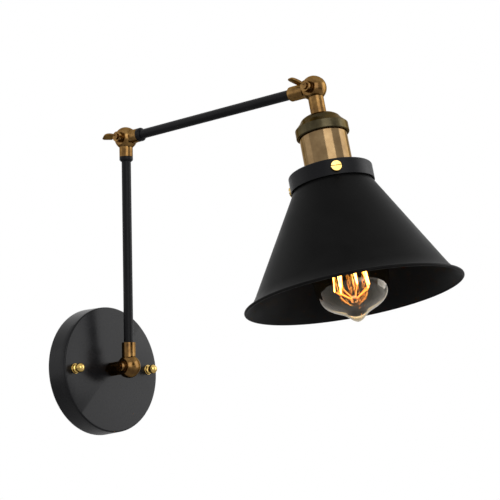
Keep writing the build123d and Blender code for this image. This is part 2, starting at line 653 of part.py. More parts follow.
TONGUE_LEAD_END = LEAD_BORE_END + LEAD_ROOM
CANOPY_LEAD_Y = WALL_KNUCKLE.Y + TONGUE_LEAD_END

with BuildPart() as canopy_lead:
    with BuildLine() as canopy_lead_route:
        FilletPolyline((0, CANOPY_LEAD_Y, 0), (0, -CANOPY_LEAD_DEPTH, 0), (0, -CANOPY_LEAD_DEPTH, CANOPY_LEAD_TOP),
                       (BLOCK_X, -CANOPY_LEAD_DEPTH, CANOPY_LEAD_TOP),
                       (BLOCK_X, -CANOPY_LEAD_DEPTH, BLOCK_HEIGHT / 2), radius=CANOPY_LEAD_BEND_R)
    with BuildSketch(Plane(origin=(0, CANOPY_LEAD_Y, 0), x_dir=(1, 0, 0), z_dir=(0, 1, 0))):
        Circle(LEAD_DIA / 2)
    sweep(path=canopy_lead_route.wires()[0])
canopy_lead.part.label = "canopy_lead"
export_step(canopy_lead.part, "parts/canopy_lead.step")

# ---- lower arm ----------------------------------------------------------------------------------------
TUBE_INNER_DIA = TUBE_DIA - 2 * TUBE_WALL

with BuildPart() as wall_fork:
    add(ball_fork(WALL_KNUCKLE, UP_LOWER_ARM, COLLAR_DIA, WALL_COLLAR_END, TUBE_SEAT, EDGE_BREAK))
wall_fork.part.label = "wall_fork"
export_step(wall_fork.part, "parts/wall_fork.step")

with BuildPart() as lower_tube:
    add(ring(WALL_KNUCKLE, UP_LOWER_ARM, TUBE_INNER_DIA, TUBE_DIA, TUBE_SEAT, LOWER_ARM - TUBE_SEAT))
lower_tube.part.label = "lower_tube"
export_step(lower_tube.part, "parts/lower_tube.step")

with BuildPart() as lower_lead:
    add(ring(WALL_KNUCKLE, UP_LOWER_ARM, 0, LEAD_DIA, FORK_LEAD_END, LOWER_ARM - FORK_LEAD_END))
lower_lead.part.label = "lower_lead"
export_step(lower_lead.part, "parts/lower_lead.step")

with BuildPart() as elbow_fork:
    add(ball_fork(ELBOW, DOWN_LOWER_ARM, COLLAR_DIA, ELBOW_COLLAR_END, TUBE_SEAT, SLIP))
elbow_fork.part.label = "elbow_fork"
export_step(elbow_fork.part, "parts/elbow_fork.step")

with BuildPart() as lower_ferrule:
    add(ferrule(ELBOW, DOWN_LOWER_ARM))
lower_ferrule.part.label = "lower_ferrule"
export_step(lower_ferrule.part, "parts/lower_ferrule.step")

# ---- upper arm ----------------------------------------------------------------------------------------
with BuildPart() as elbow_tongue:
    add(tongue(ELBOW, ALONG_UPPER_ARM, ELBOW_COLLAR_END, TUBE_SEAT, SLIP))
elbow_tongue.part.label = "elbow_tongue"
export_step(elbow_tongue.part, "parts/elbow_tongue.step")

with BuildPart() as upper_ferrule:
    add(ferrule(ELBOW, ALONG_UPPER_ARM))
upper_ferrule.part.label = "upper_ferrule"
export_step(upper_ferrule.part, "parts/upper_ferrule.step")

with BuildPart() as upper_tube:
    add(ring(ELBOW, ALONG_UPPER_ARM, TUBE_INNER_DIA, TUBE_DIA, TUBE_SEAT, UPPER_ARM - HEAD_TUBE_SEAT))
upper_tube.part.label = "upper_tube"
export_step(upper_tube.part, "parts/upper_tube.step")

with BuildPart() as upper_lead:
    add(ring(ELBOW, ALONG_UPPER_ARM, 0, LEAD_DIA, TONGUE_LEAD_END, UPPER_ARM - TONGUE_LEAD_END))
upper_lead.part.label = "upper_lead"
export_step(upper_lead.part, "parts/upper_lead.step")

with BuildPart() as head_tongue:
    add(tongue(HEAD_KNUCKLE, BACK_UPPER_ARM, HEAD_COLLAR_END, HEAD_TUBE_SEAT, HEAD_COLLAR_END_R))
head_tongue.part.label = "head_tongue"
export_step(head_tongue.part, "parts/head_tongue.step")

# ---- wing screws and washers --------------------------------------------------------------------------
with BuildPart() as wall_wing_screw:
    add(wing_screw(WALL_KNUCKLE, WALL_WING_ANGLE))
wall_wing_screw.part.label = "wall_wing_screw"
export_step(wall_wing_screw.part, "parts/wall_wing_screw.step")

with BuildPart() as elbow_wing_screw:
    add(wing_screw(ELBOW, ELBOW_WING_ANGLE))
elbow_wing_screw.part.label = "elbow_wing_screw"
export_step(elbow_wing_screw.part, "parts/elbow_wing_screw.step")

with BuildPart() as head_wing_screw:
    add(wing_screw(HEAD_KNUCKLE, HEAD_WING_ANGLE))
head_wing_screw.part.label = "head_wing_screw"
export_step(head_wing_screw.part, "parts/head_wing_screw.step")

with BuildPart() as wall_washer:
    add(washer(WALL_KNUCKLE))
wall_washer.part.label = "wall_washer"
export_step(wall_washer.part, "parts/wall_washer.step")

with BuildPart() as elbow_washer:
    add(washer(ELBOW))
elbow_washer.part.label = "elbow_washer"
export_step(elbow_washer.part, "parts/elbow_washer.step")

with BuildPart() as head_washer:
    add(washer(HEAD_KNUCKLE))
head_washer.part.label = "head_washer"
export_step(head_washer.part, "parts/head_washer.step")

# ---- neck, cap and shell of the lampholder ------------------------------------------------------------
CAP_INNER_TOP = NECK_END + CAP_SHEET
NECK_THREAD_END = CAP_INNER_TOP + NECK_NUT_HEIGHT + NECK_THREAD_SPARE
NECK_HOLE_DIA = NECK_THREAD_DIA + 2 * SLIP

with BuildPart() as head_fork:
    add(ball_fork(HEAD_KNUCKLE, DOWN_HEAD, NECK_DIA, NECK_END, 0, EDGE_BREAK))
    add(ring(HEAD_KNUCKLE, DOWN_HEAD, LEAD_DIA + 2 * LEAD_ROOM, NECK_THREAD_DIA, NECK_END, NECK_THREAD_END))
head_fork.part.label = "head_fork"
export_step(head_fork.part, "parts/head_fork.step")

with BuildPart() as neck_locknut:
    add(hex_nut(HEAD_KNUCKLE, DOWN_HEAD, NECK_NUT_ACROSS, NECK_HOLE_DIA, CAP_INNER_TOP, NECK_NUT_HEIGHT))
neck_locknut.part.label = "neck_locknut"
export_step(neck_locknut.part, "parts/neck_locknut.step")

CAP_BORE_R = NECK_HOLE_DIA / 2
CAP_TOP_R = CAP_TOP_DIA / 2
CAP_DOME_R = CAP_DOME_DIA / 2
CAP_STEP_R = CAP_STEP_DIA / 2
CAP_FLANGE_R = CAP_FLANGE_DIA / 2
CAP_LINING_R = SHELL_DIA / 2 + SHELL_GAP
DOME_MIDDLE = ((CAP_TOP_R + CAP_DOME_R + CAP_DOME_BULGE) / 2, (NECK_END + CAP_DOME_END - CAP_DOME_BULGE) / 2)

with BuildPart() as socket_cap:
    with BuildSketch(HEAD_SECTION):
        with BuildLine():
            Line((CAP_BORE_R, NECK_END), (CAP_TOP_R, NECK_END))
            ThreePointArc((CAP_TOP_R, NECK_END), DOME_MIDDLE, (CAP_DOME_R, CAP_DOME_END))
            Polyline((CAP_DOME_R, CAP_DOME_END), (CAP_STEP_R, CAP_STEP_END),
                     (CAP_FLANGE_R - CAP_FLANGE_EDGE, CAP_FLANGE_TOP),
                     (CAP_FLANGE_R, CAP_FLANGE_TOP + CAP_FLANGE_EDGE),
                     (CAP_FLANGE_R, CAP_FLANGE_END - CAP_FLANGE_EDGE),
                     (CAP_FLANGE_R - CAP_FLANGE_EDGE, CAP_FLANGE_END), (CAP_LINING_R, CAP_FLANGE_END),
                     (CAP_LINING_R, SHELL_TOP - SHELL_GAP), (CAP_STEP_R - CAP_SHEET, CAP_FLANGE_TOP),
                     (CAP_DOME_R - CAP_SHEET, CAP_STEP_END), (CAP_TOP_R + CAP_SHEET, CAP_INNER_TOP),
                     (CAP_BORE_R, CAP_INNER_TOP), (CAP_BORE_R, NECK_END))
        make_face()
    revolve(axis=HEAD_AXIS)
socket_cap.part.label = "socket_cap"
export_step(socket_cap.part, "parts/socket_cap.step")

SHELL_R = SHELL_DIA / 2
SHELL_THREAD_R = SHELL_THREAD_DIA / 2
SHELL_INNER_R = SHELL_INNER_DIA / 2
INSERT_END = SHELL_END - SHELL_LIP

with BuildPart() as socket_shell:
    add(turned(HEAD_KNUCKLE, DOWN_HEAD, (
        (SHELL_INNER_R, SHELL_TOP), (SHELL_R, SHELL_TOP), (SHELL_R, GALLERY_TOP), (SHELL_THREAD_R, GALLERY_TOP),
        (SHELL_THREAD_R, SHELL_END), (SHELL_LIP_DIA / 2, SHELL_END), (SHELL_LIP_DIA / 2, INSERT_END),
        (SHELL_INNER_R, INSERT_END))))
socket_shell.part.label = "socket_shell"
export_step(socket_shell.part, "parts/socket_shell.step")

# ---- lampholder insert --------------------------------------------------------------------------------
INSERT_BORE_R = SCREW_SHELL_DIA / 2 + SLIP
SCREW_SHELL_BORE = SCREW_SHELL_DIA - 2 * SCREW_SHELL_SHEET
POSTS = ((-POST_OFFSET, 0), (POST_OFFSET, 0))

with BuildPart() as socket_insert:
    add(turned(HEAD_KNUCKLE, DOWN_HEAD, (
        (0, INSERT_TOP), (INSERT_DIA / 2, INSERT_TOP), (INSERT_DIA / 2, INSERT_END), (INSERT_BORE_R, INSERT_END),
        (INSERT_BORE_R, INSERT_FLOOR), (0, INSERT_FLOOR))))
socket_insert.part.label = "socket_insert"
export_step(socket_insert.part, "parts/socket_insert.step")

with BuildPart() as screw_shell:
    add(ring(HEAD_KNUCKLE, DOWN_HEAD, SCREW_SHELL_BORE, SCREW_SHELL_DIA, SCREW_SHELL_TOP, SCREW_SHELL_END))
screw_shell.part.label = "screw_shell"
export_step(screw_shell.part, "parts/screw_shell.step")

CONTACT_FACE = BULB_CONTACT_AT
CONTACT_BACK = CONTACT_FACE - CONTACT_SHEET

with BuildPart() as centre_contact:
    with BuildSketch(HEAD_SECTION):
        with BuildLine():
            Polyline((-CONTACT_FOOT, INSERT_FLOOR), (-CONTACT_KNEE, INSERT_FLOOR), (0, CONTACT_BACK),
                     (CONTACT_TOE, CONTACT_BACK), (CONTACT_TOE, CONTACT_FACE), (-CONTACT_SHEET, CONTACT_FACE),
                     (-CONTACT_KNEE - CONTACT_SHEET, INSERT_FLOOR + CONTACT_SHEET),
                     (-CONTACT_FOOT, INSERT_FLOOR + CONTACT_SHEET), close=True)
        make_face()
    extrude(amount=CONTACT_WIDTH / 2, both=True)
centre_contact.part.label = "centre_contact"
export_step(centre_contact.part, "parts/centre_contact.step")

with BuildPart() as terminal_posts:
    with BuildSketch(cross_plane(HEAD_KNUCKLE, DOWN_HEAD, INSERT_TOP - POST_HEIGHT)):
        with Locations(*POSTS):
            Rectangle(POST_WIDTH, POST_DEPTH)
    extrude(amount=POST_HEIGHT)
    with BuildSketch(side_plane(HEAD_KNUCKLE, DOWN_HEAD, 0)):
        with Locations((INSERT_TOP - POST_HEIGHT / 2, 0)):
            Circle(POST_SCREW_DIA / 2 + SLIP)
    extrude(amount=POST_OFFSET + POST_WIDTH, both=True, mode=Mode.SUBTRACT)
terminal_posts.part.label = "terminal_posts"
export_step(terminal_posts.part, "parts/terminal_posts.step")

POST_FACE = POST_OFFSET + POST_WIDTH / 2

with BuildPart() as post_screws:
    for side in (-1, 1):
        with BuildSketch(side_plane(HEAD_KNUCKLE, DOWN_HEAD, side * POST_FACE)):
            with Locations((INSERT_TOP - POST_HEIGHT / 2, 0)):
                Circle(POST_HEAD_DIA / 2)
        extrude(amount=side * POST_HEAD_HEIGHT)
        with BuildSketch(side_plane(HEAD_KNUCKLE, DOWN_HEAD, side * POST_FACE)):
            with Locations((INSERT_TOP - POST_HEIGHT / 2, 0)):
                Circle(POST_SCREW_DIA / 2)
        extrude(amount=-side * POST_WIDTH)
post_screws.part.label = "post_screws"
export_step(post_screws.part, "parts/post_screws.step")

TAIL_END = INSERT_TOP - POST_HEIGHT

with BuildPart() as head_lead:
    add(ring(HEAD_KNUCKLE, DOWN_HEAD, 0, LEAD_DIA, FORK_LEAD_END, TAIL_START + TAIL_DIA))
    for side in (-1, 1):
        near = HEAD_KNUCKLE + ACROSS * side * TAIL_OFFSET
        far = HEAD_KNUCKLE + ACROSS * side * POST_OFFSET
        with BuildLine() as tail_route:
            FilletPolyline(near + DOWN_HEAD * TAIL_START, near + DOWN_HEAD * TAIL_FAN_START,
                           far + DOWN_HEAD * TAIL_FAN_END, far + DOWN_HEAD * TAIL_END, radius=TAIL_BEND_R)
        with BuildSketch(cross_plane(near, DOWN_HEAD, TAIL_START)):
            Circle(TAIL_DIA / 2)
        sweep(path=tail_route.wires()[0])
head_lead.part.label = "head_lead"
export_step(head_lead.part, "parts/head_lead.step")

# ---- gallery and shade --------------------------------------------------------------------------------
GALLERY_R = GALLERY_DIA / 2
GALLERY_INNER_R = GALLERY_R - GALLERY_SHEET
SHADE_NECK_R = SHADE_NECK_DIA / 2
RING_TOP = GALLERY_TOP + GALLERY_SHEET
GALLERY_SCREW_ANGLES = [GALLERY_SCREW_START + k * 360 / GALLERY_SCREW_COUNT for k in range(GALLERY_SCREW_COUNT)]
HEAD_ASIDE = DOWN_HEAD.cross(ACROSS)


def screw_line(angle):
    """Direction straight out of the gallery at an angle round the head axis."""
    return ACROSS * math.cos(math.radians(angle)) + HEAD_ASIDE * math.sin(math.radians(angle))


def gallery_screw_plane(angle, radius):
    """Plane square to a gallery screw at a distance from the head axis."""
    outward = screw_line(angle)
    return Plane(origin=HEAD_KNUCKLE + DOWN_HEAD * GALLERY_SCREW_AT + outward * radius, x_dir=DOWN_HEAD, z_dir=outward)


with BuildPart() as gallery:
    add(turned(HEAD_KNUCKLE, DOWN_HEAD, (
        (SHELL_THREAD_R + SLIP, GALLERY_TOP), (GALLERY_R, GALLERY_TOP), (GALLERY_R, GALLERY_END),
        (GALLERY_INNER_R, GALLERY_END), (GALLERY_INNER_R, RING_TOP), (SHELL_THREAD_R + SLIP, RING_TOP))))
    top_edges = gallery.faces().sort_by(HEAD_AXIS)[0].edges()
    fillet(top_edges.sort_by(SortBy.RADIUS)[-1], GALLERY_EDGE_R)
    for screw_angle in GALLERY_SCREW_ANGLES:
        with BuildSketch(gallery_screw_plane(screw_angle, SHADE_NECK_R)):
            Circle(GALLERY_SCREW_DIA / 2 + SLIP)
        extrude(amount=GALLERY_R - SHADE_NECK_R + EDGE_BREAK, mode=Mode.SUBTRACT)
gallery.part.label = "gallery"
export_step(gallery.part, "parts/gallery.step")

with BuildPart() as gallery_screws:
    for screw_angle in GALLERY_SCREW_ANGLES:
        with BuildSketch(gallery_screw_plane(screw_angle, SHADE_NECK_R + SHELL_GAP)):
            Circle(GALLERY_SCREW_DIA / 2)
        extrude(amount=GALLERY_R - SHADE_NECK_R)
        with BuildSketch(gallery_screw_plane(screw_angle, GALLERY_R)):
            Circle(GALLERY_HEAD_DIA / 2)
        extrude(amount=GALLERY_HEAD_HEIGHT)
        with BuildSketch(gallery_screw_plane(screw_angle, GALLERY_R + GALLERY_HEAD_HEIGHT)):
            Rectangle(GALLERY_SLOT_WIDTH, GALLERY_HEAD_DIA)
        extrude(amount=-GALLERY_SLOT_DEPTH, mode=Mode.SUBTRACT)
gallery_screws.part.label = "gallery_screws"
export_step(gallery_screws.part, "parts/gallery_screws.step")

with BuildPart() as shade_ring:
    add(ring(HEAD_KNUCKLE, DOWN_HEAD, SHELL_THREAD_DIA + 2 * SLIP, RING_DIA, RING_TOP, RING_TOP + RING_HEIGHT))
shade_ring.part.label = "shade_ring"
export_step(shade_ring.part, "parts/shade_ring.step")

SHADE_BEAD_R = GALLERY_INNER_R - SHADE_BEAD_ROOM
SHADE_BEAD_END = GALLERY_SCREW_AT - GALLERY_SCREW_DIA / 2 - SLIP
SHADE_FLARE_R = SHADE_FLARE_DIA / 2
SHADE_CONE_TOP_R = SHADE_CONE_TOP_DIA / 2
SHADE_SLOPE = Vector(SHADE_FLARE_R - SHADE_CONE_TOP_R, SHADE_FLARE_START - SHADE_CONE_TOP)
SHADE_SHEET_MIDDLE = Vector(-SHADE_SLOPE.Y, SHADE_SLOPE.X).normalized() * (SHADE_SHEET / 2)

with BuildPart() as shade:
    with BuildSketch(HEAD_SECTION):
        with BuildLine():
            Polyline((SHADE_NECK_R - SHADE_SHEET, SHADE_BEAD_END - SHADE_BEAD_HEIGHT),
                     (SHADE_BEAD_R, SHADE_BEAD_END - SHADE_BEAD_HEIGHT), (SHADE_BEAD_R, SHADE_BEAD_END),
                     (SHADE_NECK_R, SHADE_BEAD_END), (SHADE_NECK_R, SHADE_NECK_END),
                     (SHADE_CONE_TOP_R, SHADE_CONE_TOP), (SHADE_FLARE_R, SHADE_FLARE_START))
            outer_flare = TangentArc((SHADE_FLARE_R, SHADE_FLARE_START), (SHADE_ROLL_RING_DIA / 2, SHADE_ROLL_AT),
                                     tangent=SHADE_SLOPE)
            inner_start = (SHADE_FLARE_R + 2 * SHADE_SHEET_MIDDLE.X, SHADE_FLARE_START + 2 * SHADE_SHEET_MIDDLE.Y)
            rim_inner = Vector(outer_flare @ 1) + Vector(-(outer_flare % 1).Y, (outer_flare % 1).X) * SHADE_SHEET
            Line(outer_flare @ 1, rim_inner)
            TangentArc(inner_start, rim_inner, tangent=SHADE_SLOPE)
            Polyline(inner_start, (SHADE_CONE_TOP_R - SHADE_SHEET, SHADE_CONE_TOP + SHADE_SHEET / 2),
                     (SHADE_NECK_R - SHADE_SHEET, SHADE_NECK_END + SHADE_SHEET / 2),
                     (SHADE_NECK_R - SHADE_SHEET, SHADE_BEAD_END - SHADE_BEAD_HEIGHT))
        make_face()
        with Locations((SHADE_ROLL_RING_DIA / 2, SHADE_ROLL_AT)):
            Circle(SHADE_ROLL_DIA / 2)
    revolve(axis=HEAD_AXIS)
shade.part.label = "shade"
export_step(shade.part, "parts/shade.step")

# ---- lamp bulb ----------------------------------------------------------------------------------------
THREAD_R = BULB_THREAD_DIA / 2
THREAD_ROOT_R = BULB_THREAD_ROOT_DIA / 2
THREAD_END = BULB_THREAD_START + BULB_THREAD_TURNS * BULB_THREAD_PITCH


def thread_points(inset):
    """Crests and roots of the rolled cap, set in from its outside."""
    points = [(THREAD_ROOT_R - inset, BULB_THREAD_START)]
    for turn in range(BULB_THREAD_TURNS):
        points.append((THREAD_R - inset, BULB_THREAD_START + (turn + 0.5) * BULB_THREAD_PITCH))
        points.append((THREAD_ROOT_R - inset, BULB_THREAD_START + (turn + 1) * BULB_THREAD_PITCH))
    return points


with BuildPart() as bulb_contact:
    add(ring(BULB_CONTACT, DOWN_HEAD, 0, BULB_CONTACT_DIA, 0, BULB_CONTACT_HEIGHT))
bulb_contact.part.label = "bulb_contact"
export_step(bulb_contact.part, "parts/bulb_contact.step")

with BuildPart() as bulb_insulator:
    add(turned(BULB_CONTACT, DOWN_HEAD, (
        (0, BULB_CONTACT_HEIGHT), (BULB_CONTACT_DIA / 2, BULB_CONTACT_HEIGHT),
        (BULB_INSULATOR_DIA / 2, BULB_INSULATOR_END), (0, BULB_INSULATOR_END))))
bulb_insulator.part.label = "bulb_insulator"
export_step(bulb_insulator.part, "parts/bulb_insulator.step")

with BuildPart() as bulb_cap:
    with BuildSketch(BULB_SECTION):
        with BuildLine():
            Line((BULB_INSULATOR_DIA / 2 - BULB_CAP_SHEET, BULB_INSULATOR_END),
                 (BULB_INSULATOR_DIA / 2, BULB_INSULATOR_END))
            Line((BULB_INSULATOR_DIA / 2, BULB_INSULATOR_END), (THREAD_ROOT_R, BULB_THREAD_START))
            Spline(*thread_points(0))
            Polyline((THREAD_ROOT_R, THREAD_END), (THREAD_R, THREAD_END + BULB_CAP_SHEET), (THREAD_R, BULB_CAP_END),
                     (THREAD_R - BULB_CAP_SHEET, BULB_CAP_END), (THREAD_R - BULB_CAP_SHEET, THREAD_END + BULB_CAP_SHEET),
                     (THREAD_ROOT_R - BULB_CAP_SHEET, THREAD_END))
            Spline(*thread_points(BULB_CAP_SHEET))
            Line((THREAD_ROOT_R - BULB_CAP_SHEET, BULB_THREAD_START),
                 (BULB_INSULATOR_DIA / 2 - BULB_CAP_SHEET, BULB_INSULATOR_END))
        make_face()
    revolve(axis=HEAD_AXIS)
bulb_cap.part.label = "bulb_cap"
export_step(bulb_cap.part, "parts/bulb_cap.step")

GLASS_POINTS = [Vector(radius, GLASS_NECK_START + share * GLASS_RUN) for share, radius in GLASS_OUTLINE]
GLASS_NORMALS = []
for index, point in enumerate(GLASS_POINTS):
    ahead = GLASS_POINTS[min(index + 1, len(GLASS_POINTS) - 1)]
    behind = GLASS_POINTS[max(index - 1, 0)]
    run = (ahead - behind).normalized()
    GLASS_NORMALS.append(Vector(-run.Y, run.X))
GLASS_INSIDE = [point + normal * GLASS_SHEET for point, normal in zip(GLASS_POINTS, GLASS_NORMALS)]
TIP_INSIDE = BULB_LENGTH - GLASS_TIP_THICKNESS

with BuildPart() as bulb_glass:
    with BuildSketch(BULB_SECTION):
        with BuildLine():
            outer_wall = Spline(*GLASS_POINTS)
            Spline(outer_wall @ 1, (0, BULB_LENGTH), tangents=(outer_wall % 1, Vector(-1, 0)),
                   tangent_scalars=(GLASS_TIP_FULLNESS, GLASS_TIP_FULLNESS))
            Line((0, BULB_LENGTH), (0, TIP_INSIDE))
            inner_wall = Spline(*GLASS_INSIDE)
            Spline(inner_wall @ 1, (0, TIP_INSIDE), tangents=(inner_wall % 1, Vector(-1, 0)),
                   tangent_scalars=(GLASS_TIP_FULLNESS, GLASS_TIP_FULLNESS))
            Line(GLASS_INSIDE[0], GLASS_POINTS[0])
        make_face()
    revolve(axis=HEAD_AXIS)
bulb_glass.part.label = "bulb_glass"
export_step(bulb_glass.part, "parts/bulb_glass.step")

def round_bulb(distance, radius, angle):
    """Point inside the bulb from its distance off the contact, radius and angle round the axis."""
    return BULB_CONTACT + DOWN_HEAD * distance + screw_line(angle) * radius


HOOK_PITCH = 360 / FILAMENT_HOOKS
FILAMENT_TURNS = [round_bulb(FILAMENT_TOP, FILAMENT_TOP_R, 0)]
for hook in range(FILAMENT_HOOKS - 1):
    FILAMENT_TURNS.append(round_bulb(FILAMENT_BOTTOM, FILAMENT_BOTTOM_R, (hook + 0.5) * HOOK_PITCH))
    FILAMENT_TURNS.append(round_bulb(FILAMENT_TOP, FILAMENT_TOP_R, (hook + 1) * HOOK_PITCH))

with BuildPart() as filament:
    for leg_start, leg_end in zip(FILAMENT_TURNS[:-1], FILAMENT_TURNS[1:]):
        add(rod_between(leg_start, leg_end, FILAMENT_DIA))
    with Locations(*FILAMENT_TURNS):
        Sphere(FILAMENT_DIA / 2)
filament.part.label = "filament"
export_step(filament.part, "parts/filament.step")

BULB_ROD_R = BULB_ROD_DIA / 2
BULB_PRESS_R = BULB_STEM_PRESS_DIA / 2
WIRE_END_GAP = FILAMENT_DIA / 2 + SUPPORT_DIA / 2 + SUPPORT_GAP

with BuildPart() as filament_supports:
    for hook in range(FILAMENT_HOOKS):
        top_angle = hook * HOOK_PITCH
        add(rod_between(round_bulb(SUPPORT_TOP_ROOT, BULB_PRESS_R - SUPPORT_DIA, top_angle),
                        round_bulb(FILAMENT_TOP - WIRE_END_GAP, FILAMENT_TOP_R - WIRE_END_GAP, top_angle), SUPPORT_DIA))
    for hook in range(FILAMENT_HOOKS - 1):
        low_angle = (hook + 0.5) * HOOK_PITCH
        add(rod_between(round_bulb(SUPPORT_BOTTOM_ROOT, BULB_ROD_R, low_angle),
                        round_bulb(FILAMENT_BOTTOM + WIRE_END_GAP, FILAMENT_BOTTOM_R - WIRE_END_GAP, low_angle),
                        SUPPORT_DIA))
filament_supports.part.label = "filament_supports"
export_step(filament_supports.part, "parts/filament_supports.step")

with BuildPart() as bulb_stem:
    add(turned(BULB_CONTACT, DOWN_HEAD, (
        (BULB_STEM_FLARE_DIA / 2, GLASS_NECK_START), (BULB_STEM_FLARE_DIA / 2, BULB_STEM_FLARE_END),
        (BULB_PRESS_R, BULB_STEM_PRESS_START), (BULB_PRESS_R, BULB_STEM_PRESS_END),
        (BULB_ROD_R, BULB_STEM_PRESS_END + BULB_ROD_DIA), (BULB_ROD_R, BULB_ROD_END), (0, BULB_ROD_END),
        (0, BULB_STEM_PRESS_START), (BULB_PRESS_R - BULB_STEM_SHEET, BULB_STEM_PRESS_START),
        (BULB_STEM_FLARE_DIA / 2 - BULB_STEM_SHEET, GLASS_NECK_START))))
    with Locations(BULB_CONTACT + DOWN_HEAD * BULB_ROD_END):
        Sphere(BULB_BUTTON_DIA / 2)
    add(filament_supports.part, mode=Mode.SUBTRACT)
bulb_stem.part.label = "bulb_stem"
export_step(bulb_stem.part, "parts/bulb_stem.step")
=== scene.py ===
"""Two-arm wall lamp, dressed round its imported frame: turned brass knuckles, black painted arms and a hooded bulb.

Metres and degrees. +X runs right along the wall, -Y out of it, +Z up; the origin is the back of the canopy.
"""
import json
import math

import bmesh
import bpy
from mathutils import Matrix, Vector

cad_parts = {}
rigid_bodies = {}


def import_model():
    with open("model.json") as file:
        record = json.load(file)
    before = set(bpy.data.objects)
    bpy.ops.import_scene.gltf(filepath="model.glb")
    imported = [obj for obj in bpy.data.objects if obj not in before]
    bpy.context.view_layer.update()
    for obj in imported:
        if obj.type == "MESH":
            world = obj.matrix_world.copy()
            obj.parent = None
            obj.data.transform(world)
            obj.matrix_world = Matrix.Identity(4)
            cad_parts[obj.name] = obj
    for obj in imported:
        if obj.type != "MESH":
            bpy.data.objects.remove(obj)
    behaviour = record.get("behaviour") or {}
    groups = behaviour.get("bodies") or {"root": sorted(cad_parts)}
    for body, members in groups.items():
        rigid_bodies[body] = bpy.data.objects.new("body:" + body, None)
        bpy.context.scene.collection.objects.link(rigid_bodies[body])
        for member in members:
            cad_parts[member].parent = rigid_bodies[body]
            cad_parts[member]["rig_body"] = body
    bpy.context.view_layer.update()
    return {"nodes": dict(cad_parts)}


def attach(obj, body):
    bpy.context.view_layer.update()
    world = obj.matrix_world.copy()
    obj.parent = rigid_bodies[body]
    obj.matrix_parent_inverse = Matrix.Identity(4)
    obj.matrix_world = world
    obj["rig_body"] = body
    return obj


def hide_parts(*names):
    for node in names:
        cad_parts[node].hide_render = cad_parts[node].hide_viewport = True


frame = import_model()

MM = 0.001

# ---- camera of the photograph -------------------------------------------------------------------------
CAMERA_PLACE = Vector((-852.97, -915.41, -114.16)) * MM
CAMERA_AZIMUTH = -50.17
CAMERA_ELEVATION = -10.11
CAMERA_ROLL = -4.58
FOCAL_PIXELS = 1284.49
PICTURE_PIXELS = 500
SENSOR_WIDTH = 36.0

# ---- meshes --------------------------------------------------------------------------------------------
EDGE_ANGLE = math.radians(32)  # faces that meet more sharply have a hard edge
FLAT_ANGLE = math.radians(0.25)  # faces that meet more flatly are one face
WELD = 1e-6
BROKEN_EDGE_STEPS = 2


# ======================================================================================================
# Shader maths
# ======================================================================================================
class Wire:
    """A shader socket that Python's operators can join to others."""

    def __init__(self, graph, socket):
        self.graph = graph
        self.socket = socket

    def _maths(self, operation, first, second):
        return self.graph.node("ShaderNodeMath", {"operation": operation}, {0: first, 1: second})

    def __add__(self, other):
        return self._maths("ADD", self, other)

    def __mul__(self, other):
        return self._maths("MULTIPLY", self, other)

    def __or__(self, other):
        return self._maths("MAXIMUM", self, other)


class Graph:
    """The nodes of a material or of the world."""

    def __init__(self, owner, output_kind):
        owner.use_nodes = True
        self.owner = owner
        self.tree = owner.node_tree
        self.tree.nodes.clear()
        self.output = self.tree.nodes.new(output_kind)

    def node(self, kind, settings=None, inputs=None, out=0):
        """Any node: its settings first, then the values or wires of its sockets. Returns one output as a Wire."""
        made = self.tree.nodes.new(kind)
        for name, value in (settings or {}).items():
            if name == "stops":
                self._set_stops(made.color_ramp, value)
            else:
                setattr(made, name, value)
        for name, value in (inputs or {}).items():
            if isinstance(value, Wire):
                self.tree.links.new(value.socket, made.inputs[name])
            else:
                made.inputs[name].default_value = value
        return Wire(self, made.outputs[out])

    @staticmethod
    def _set_stops(ramp, stops):
        while len(ramp.elements) < len(stops):
            ramp.elements.new(0.5)
        for element, (position, colour) in zip(ramp.elements, stops):
            element.position = position
            element.color = (*colour, 1)

    def finish(self, shader):
        """Sends a shader to the output."""
        self.tree.links.new(shader.socket, self.output.inputs["Surface"])


class Paint(Graph):
    """One material."""

    def __init__(self, name):
        super().__init__(bpy.data.materials.new(name), "ShaderNodeOutputMaterial")

    def surface(self, **inputs):
        """Principled surface from its sockets' names, with _ for each space."""
        named = {key.replace("_", " "): value for key, value in inputs.items()}
        self.finish(self.node("ShaderNodeBsdfPrincipled", {}, named, "BSDF"))
        return self.owner

    def place(self, stretch=(1, 1, 1)):
        """Object coordinates, stretched."""
        where = self.node("ShaderNodeTexCoord", out="Object")
        return self.node("ShaderNodeMapping", {}, {"Vector": where, "Scale": stretch}, "Vector")

    def noise(self, where, grain, detail=4.0):
        """Soft noise from 0 to 1, its grain given in patches to a metre."""
        return self.node("ShaderNodeTexNoise", {}, {"Vector": where, "Scale": grain, "Detail": detail,
                                                    "Roughness": NOISE_ROUGHNESS}, "Fac")

    def ramp(self, amount, *stops):
        """Colour ramp over an amount."""
        return self.node("ShaderNodeValToRGB", {"stops": stops}, {"Fac": amount}, "Color")

    def spread(self, noise, low, high):
        """A noise stretched over the span from low to high."""
        return self.node("ShaderNodeMapRange", {"clamp": True}, {
            "Value": noise, "From Min": NOISE_SPAN[0], "From Max": NOISE_SPAN[1], "To Min": low, "To Max": high},
            "Result")

    def bump(self, height, distance, strength):
        """Surface relief from a height from 0 to 1."""
        return self.node("ShaderNodeBump", {}, {"Height": height, "Distance": distance, "Strength": strength},
                         "Normal")


# ======================================================================================================
# Finishes
# ======================================================================================================
DIMMED_GLANCING_REFLECTION = (0.62, 0.50, 0.36, 1.0)  # tint of the metal's glancing reflection, dimmed so the rims show a painted dark reflection
NOISE_SPAN = (0.35, 0.65)  # where most of a noise lies
NOISE_ROUGHNESS = 0.55
LACQUER_ROUGHNESS = 0.08
GLASS_INDEX = 1.45

